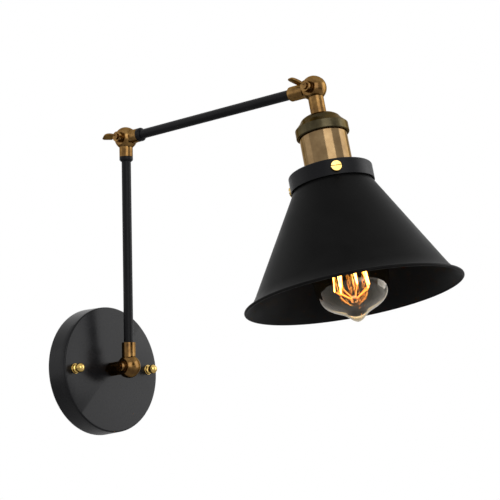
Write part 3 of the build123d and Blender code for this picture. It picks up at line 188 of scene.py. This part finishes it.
# noise grains, in patches to a metre
BRASS_DRIFT, BRASS_CLOUD, TURNING_MARKS = 55.0, 260.0, 2600.0
PAINT_DRIFT, ORANGE_PEEL = 30.0, 1500.0
METAL_GRAIN, MOULDED_GRAIN, GLASS_DRIFT, HEAT_DRIFT = 400.0, 500.0, 25.0, 90.0


def brass(name, dark, mid, light, gloss, dull, lacquer):
    """Lacquered brass with a slow drift of tone, faint wear and fine turning marks."""
    paint = Paint(name)
    where = paint.place()
    drift = paint.noise(where, BRASS_DRIFT, 5.0)
    cloud = paint.noise(where, BRASS_CLOUD, 3.0)
    tone = drift * 0.7 + cloud * 0.3
    colour = paint.ramp(tone, (0.34, dark), (0.5, mid), (0.66, light))
    fine = paint.noise(where, TURNING_MARKS, 2.0)
    roughness = paint.spread(drift * 0.6 + fine * 0.4, gloss, dull)
    relief = paint.bump(fine, 0.01 * MM, 0.5)
    return paint.surface(Base_Color=colour, Metallic=1.0, Roughness=roughness, Normal=relief, Coat_Weight=lacquer,
                         Coat_Roughness=LACQUER_ROUGHNESS, Specular_Tint=DIMMED_GLANCING_REFLECTION)


def powder_coat(name, dark, light, gloss, dull, relief_depth, sheen):
    """Black powder coat: nearly even tone with a fine orange-peel skin."""
    paint = Paint(name)
    where = paint.place()
    drift = paint.noise(where, PAINT_DRIFT)
    peel = paint.noise(where, ORANGE_PEEL, 2.5)
    colour = paint.ramp(drift * 0.6 + peel * 0.4, (0.38, dark), (0.62, light))
    roughness = paint.spread(drift, gloss, dull)
    relief = paint.bump(peel, relief_depth, 0.6)
    return paint.surface(Base_Color=colour, Roughness=roughness, Normal=relief, Specular_IOR_Level=sheen)


def plain_metal(name, dark, light, gloss, dull):
    """Plated steel or plain contact brass, hidden in use."""
    paint = Paint(name)
    where = paint.place(stretch=(1, 1, 6))
    grain = paint.noise(where, METAL_GRAIN)
    colour = paint.ramp(grain, (NOISE_SPAN[0], dark), (NOISE_SPAN[1], light))
    roughness = paint.spread(grain, gloss, dull)
    return paint.surface(Base_Color=colour, Metallic=1.0, Roughness=roughness)


def moulded(name, dark, light, gloss, dull):
    """Moulded plastic or rubber."""
    paint = Paint(name)
    grain = paint.noise(paint.place(), MOULDED_GRAIN, 3.0)
    colour = paint.ramp(grain, (NOISE_SPAN[0], dark), (NOISE_SPAN[1], light))
    roughness = paint.spread(grain, gloss, dull)
    return paint.surface(Base_Color=colour, Roughness=roughness)


def blown_glass(name, tint, deep):
    """Clear glass with a slow tint."""
    paint = Paint(name)
    drift = paint.noise(paint.place(), GLASS_DRIFT, 3.0)
    colour = paint.ramp(drift, (0.3, deep), (0.7, tint))
    return paint.surface(Base_Color=colour, Roughness=0.0, IOR=GLASS_INDEX, Transmission_Weight=1.0)


def glowing_wire(name, cool, hot, strength):
    """Filament that glows hotter in places."""
    paint = Paint(name)
    drift = paint.noise(paint.place(), HEAT_DRIFT, 3.0)
    colour = paint.ramp(drift, (NOISE_SPAN[0], cool), (NOISE_SPAN[1], hot))
    return paint.surface(Base_Color=colour, Roughness=0.5, Emission_Color=colour, Emission_Strength=strength)


FINISHES = {
    # Painted reflection: these brass base colours are kept far darker than bright brass, so the metal looks as if
    # it mirrored a dark studio although the surround is white; the knuckle and cap brass owe part of that darkness
    # to their antique finish.
    "knuckle brass": brass("antique knuckle brass with painted dark reflection", (0.065, 0.031, 0.009), (0.145, 0.076, 0.021),
                           (0.26, 0.148, 0.046), gloss=0.15, dull=0.27, lacquer=0.15),
    "holder brass": brass("polished lampholder brass with painted dark reflection", (0.13, 0.080, 0.034), (0.17, 0.108, 0.048),
                          (0.22, 0.145, 0.068), gloss=0.07, dull=0.14, lacquer=0.20),
    "cap brass": brass("satin cap brass with painted dark reflection", (0.030, 0.023, 0.011), (0.052, 0.042, 0.021),
                       (0.085, 0.070, 0.036), gloss=0.27, dull=0.38, lacquer=0.10),
    "nut brass": brass("bright cap nut brass", (0.42, 0.26, 0.068), (0.58, 0.39, 0.11), (0.74, 0.53, 0.19),
                       gloss=0.09, dull=0.17, lacquer=0.20),
    "arm black": powder_coat("satin black arm paint", (0.005, 0.005, 0.006), (0.010, 0.010, 0.011),
                             gloss=0.36, dull=0.46, relief_depth=0.03 * MM, sheen=0.09),
    "canopy black": powder_coat("satin black canopy paint", (0.005, 0.005, 0.006), (0.009, 0.009, 0.010),
                                gloss=0.24, dull=0.31, relief_depth=0.01 * MM, sheen=0.14),
    "gallery black": powder_coat("satin black gallery paint", (0.004, 0.004, 0.005), (0.008, 0.008, 0.009),
                                 gloss=0.36, dull=0.46, relief_depth=0.02 * MM, sheen=0.11),
    "shade black": powder_coat("satin black shade paint", (0.003, 0.003, 0.003), (0.007, 0.007, 0.007),
                               gloss=0.38, dull=0.48, relief_depth=0.03 * MM, sheen=0.045),
    "zinc": plain_metal("zinc plated steel", (0.48, 0.49, 0.50), (0.66, 0.67, 0.68), gloss=0.28, dull=0.42),
    "contact brass": plain_metal("plain contact brass", (0.52, 0.38, 0.16), (0.70, 0.54, 0.26),
                                 gloss=0.25, dull=0.40),
    "cap tin": plain_metal("rolled bulb cap metal", (0.56, 0.48, 0.30), (0.72, 0.64, 0.42), gloss=0.18, dull=0.30),
    "sheath": moulded("heat-resistant lead sheath", (0.70, 0.69, 0.66), (0.82, 0.81, 0.78), gloss=0.45, dull=0.6),
    "connector": moulded("pale connector plastic", (0.74, 0.72, 0.66), (0.84, 0.82, 0.77), gloss=0.4, dull=0.55),
    "insert": moulded("glazed lampholder insert", (0.78, 0.77, 0.73), (0.88, 0.87, 0.83), gloss=0.12, dull=0.2),
    "black glass": moulded("black bulb insulator", (0.012, 0.012, 0.012), (0.03, 0.03, 0.03),
                           gloss=0.12, dull=0.2),
    "amber glass": blown_glass("amber bulb glass", (1.0, 0.90, 0.70), (1.0, 0.84, 0.58)),
    "stem glass": blown_glass("clear stem glass", (0.97, 0.97, 0.95), (0.93, 0.94, 0.92)),
    "filament": glowing_wire("glowing filament", (1.0, 0.34, 0.045), (1.0, 0.50, 0.11), strength=20.0),
    # Painted glow: the support wires are no lamp; their emission stands in for the filament's light falling on
    # them.
    "support wire": glowing_wire("support wire with painted glow", (1.0, 0.24, 0.03), (1.0, 0.33, 0.06), strength=3.2),
}

# frame node: (piece, finish, width of its broken edges in mm)
DRESS = {
    "canopy": ("round_canopy", "canopy black", 0),
    "cap_nuts": ("ball_topped_cap_nuts", "nut brass", 0.15),
    "wall_stem": ("stem_with_wall_knuckle_tongue", "knuckle brass", 0.2),
    "wall_fork": ("wall_knuckle_ball", "knuckle brass", 0.2),
    "elbow_fork": ("elbow_knuckle_ball", "knuckle brass", 0.2),
    "elbow_tongue": ("elbow_tongue_and_collar", "knuckle brass", 0.2),
    "head_tongue": ("head_tongue_and_collar", "knuckle brass", 0.2),
    "head_fork": ("head_knuckle_ball_and_neck", "knuckle brass", 0.2),
    "wall_washer": ("wall_knuckle_washer", "knuckle brass", 0.1),
    "elbow_washer": ("elbow_knuckle_washer", "knuckle brass", 0.1),
    "head_washer": ("head_knuckle_washer", "knuckle brass", 0.1),
    "wall_wing_screw": ("wall_wing_screw", "knuckle brass", 0.2),
    "elbow_wing_screw": ("elbow_wing_screw", "knuckle brass", 0.2),
    "head_wing_screw": ("head_wing_screw", "knuckle brass", 0.2),
    "lower_tube": ("lower_arm_tube", "arm black", 0),
    "upper_tube": ("upper_arm_tube", "arm black", 0),
    "lower_ferrule": ("lower_arm_ferrule", "arm black", 0.2),
    "upper_ferrule": ("upper_arm_ferrule", "arm black", 0.2),
    "socket_cap": ("lampholder_cap", "cap brass", 0.2),
    "socket_shell": ("lampholder_shell", "holder brass", 0),
    "gallery": ("shade_gallery", "gallery black", 0.2),
    "gallery_screws": ("gallery_screws", "nut brass", 0.2),
    "shade": ("conical_shade", "shade black", 0),
    "bulb_glass": ("bulb_glass", "amber glass", 0),
    "bulb_cap": ("bulb_cap", "cap tin", 0),
    "bulb_insulator": ("bulb_insulator", "black glass", 0),
    "bulb_contact": ("bulb_contact", "contact brass", 0),
    "bulb_stem": ("bulb_stem", "stem glass", 0),
    "filament": ("filament_cage", "filament", 0),
    "filament_supports": ("filament_support_wires", "support wire", 0),
    "wall_bracket": ("wall_bracket", "zinc", 0.2),
    "fixing_screws": ("canopy_fixing_screws", "zinc", 0.2),
    "stem_washer": ("stem_washer", "zinc", 0),
    "stem_locknut": ("stem_locknut", "zinc", 0.2),
    "neck_locknut": ("neck_locknut", "zinc", 0.2),
    "shade_ring": ("gallery_ring_nut", "zinc", 0.2),
    "earth_screw": ("earth_screw", "contact brass", 0),
    "terminal_screws": ("terminal_block_screws", "contact brass", 0),
    "terminal_posts": ("lampholder_terminals", "contact brass", 0),
    "post_screws": ("lampholder_terminal_screws", "contact brass", 0),
    "screw_shell": ("lampholder_screw_shell", "contact brass", 0),
    "centre_contact": ("lampholder_centre_contact", "contact brass", 0),
    "terminal_block": ("mains_terminal_block", "connector", 0.2),
    "socket_insert": ("lampholder_insert", "insert", 0),
    "canopy_lead": ("lead_in_the_canopy", "sheath", 0),
    "lower_lead": ("lead_in_the_lower_arm", "sheath", 0),
    "upper_lead": ("lead_in_the_upper_arm", "sheath", 0),
    "head_lead": ("lead_in_the_lampholder", "sheath", 0),
}


# ======================================================================================================
# Pieces
# ======================================================================================================
def shade_smooth(form):
    """Smooth faces with hard edges where two faces meet sharply."""
    for face in form.faces:
        face.smooth = True
    for edge in form.edges:
        edge.smooth = len(edge.link_faces) == 2 and edge.calc_face_angle(0) < EDGE_ANGLE


def settle(form, name, finish, body):
    """Turns a bmesh into a finished piece that rides on a body."""
    mesh = bpy.data.meshes.new(name)
    form.to_mesh(mesh)
    form.free()
    mesh.materials.append(FINISHES[finish])
    piece = bpy.data.objects.new(name, mesh)
    bpy.context.scene.collection.objects.link(piece)
    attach(piece, body)
    return piece


def dress(node, name, finish, broken_edge):
    """A welded, smooth copy of a frame node with its finish and softly broken edges."""
    cad = frame["nodes"][node]
    form = bmesh.new()
    form.from_mesh(cad.data)
    bmesh.ops.remove_doubles(form, verts=form.verts, dist=WELD)
    if broken_edge:
        bmesh.ops.dissolve_limit(form, angle_limit=FLAT_ANGLE, verts=form.verts, edges=form.edges)
    shade_smooth(form)
    piece = settle(form, name, finish, cad["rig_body"])
    if broken_edge:
        bevel = piece.modifiers.new("broken edges", "BEVEL")
        bevel.width = broken_edge * MM
        bevel.segments = BROKEN_EDGE_STEPS
        bevel.limit_method = "ANGLE"
        bevel.angle_limit = EDGE_ANGLE
        bevel.use_clamp_overlap = True
    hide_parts(node)


for dressed_node, look in DRESS.items():
    dress(dressed_node, *look)


# ======================================================================================================
# Studio
# ======================================================================================================
def camera_axes():
    """The camera's right, up and back, from its azimuth, elevation and roll."""
    azimuth, elevation, roll = (math.radians(v) for v in (CAMERA_AZIMUTH, CAMERA_ELEVATION, CAMERA_ROLL))
    back = Vector((math.sin(azimuth) * math.cos(elevation), -math.cos(azimuth) * math.cos(elevation),
                   math.sin(elevation)))
    level = Vector((math.cos(azimuth), math.sin(azimuth), 0))
    upright = back.cross(level)
    right = level * math.cos(roll) + upright * math.sin(roll)
    up = upright * math.cos(roll) - level * math.sin(roll)
    return right, up, back


def set_camera():
    """The camera that took the photograph."""
    right, up, back = camera_axes()
    lens = bpy.data.cameras.new("camera")
    lens.sensor_width = SENSOR_WIDTH
    lens.lens = FOCAL_PIXELS / PICTURE_PIXELS * SENSOR_WIDTH
    lens.clip_start = 0.01
    camera = bpy.data.objects.new("camera", lens)
    bpy.context.scene.collection.objects.link(camera)
    turn = Matrix((right, up, back)).transposed().to_4x4()
    camera.matrix_world = Matrix.Translation(CAMERA_PLACE) @ turn
    bpy.context.scene.camera = camera


SUBJECT = Vector((0.0, -0.19, 0.08))  # middle of the lamp, where the lamps point
FLOOR_LEVEL = -0.42
FLOOR_SIZE = 14.0
FLOOR_GRAIN = 3.0
FLOOR_TONES = ((0.90, 0.90, 0.90), (0.92, 0.92, 0.92))
FLOOR_ROUGHNESS = 0.8
WORLD_LIGHT = 0.30
WORLD_WHITE = 1.0


def softbox(name, bearing, height, distance, width, tall, radiance):
    """A soft rectangular light, at a bearing to the right of the camera, aimed at the lamp."""
    light = bpy.data.lights.new(name, "AREA")
    light.shape = "RECTANGLE"
    light.size = width
    light.size_y = tall
    light.energy = radiance * math.pi * width * tall
    azimuth = math.radians(CAMERA_AZIMUTH + bearing)
    place = SUBJECT + Vector((math.sin(azimuth) * distance, -math.cos(azimuth) * distance, height))
    lamp = bpy.data.objects.new(name, light)
    bpy.context.scene.collection.objects.link(lamp)
    aim = (SUBJECT - place).to_track_quat("-Z", "Y")
    lamp.matrix_world = Matrix.Translation(place) @ aim.to_matrix().to_4x4()


def set_floor():
    """Plain pale floor."""
    paint = Paint("pale floor")
    tone = paint.noise(paint.place(), FLOOR_GRAIN, 2.0)
    pale = paint.ramp(tone, (0.3, FLOOR_TONES[0]), (0.7, FLOOR_TONES[1]))
    pale_floor = paint.surface(Base_Color=pale, Roughness=FLOOR_ROUGHNESS)
    form = bmesh.new()
    bmesh.ops.create_grid(form, x_segments=1, y_segments=1, size=FLOOR_SIZE / 2,
                          matrix=Matrix.Translation((0, 0, FLOOR_LEVEL)))
    mesh = bpy.data.meshes.new("floor")
    form.to_mesh(mesh)
    form.free()
    mesh.materials.append(pale_floor)
    floor = bpy.data.objects.new("floor", mesh)
    bpy.context.scene.collection.objects.link(floor)


def set_world():
    """White to view, gloss and glass alike; a low level as light."""
    world = bpy.data.worlds.new("studio")
    bpy.context.scene.world = world
    sky = Graph(world, "ShaderNodeOutputWorld")
    view, gloss, glass = (sky.node("ShaderNodeLightPath", out=ray)
                          for ray in ("Is Camera Ray", "Is Glossy Ray", "Is Transmission Ray"))
    level = sky.node("ShaderNodeMapRange", {}, {"Value": view | gloss | glass, "To Min": WORLD_LIGHT,
                                                "To Max": WORLD_WHITE}, "Result")
    sky.finish(sky.node("ShaderNodeBackground", {}, {"Color": (1, 1, 1, 1), "Strength": level}))


set_camera()
set_floor()
set_world()
softbox("front strip", bearing=19, height=0.45, distance=2.4, width=1.6, tall=2.2, radiance=2.4)
softbox("side box", bearing=101, height=0.30, distance=2.0, width=1.5, tall=2.0, radiance=2.4)
softbox("left fill", bearing=-92, height=0.30, distance=2.4, width=1.5, tall=1.8, radiance=0.5)
bpy.context.scene.view_settings.view_transform = "Standard"
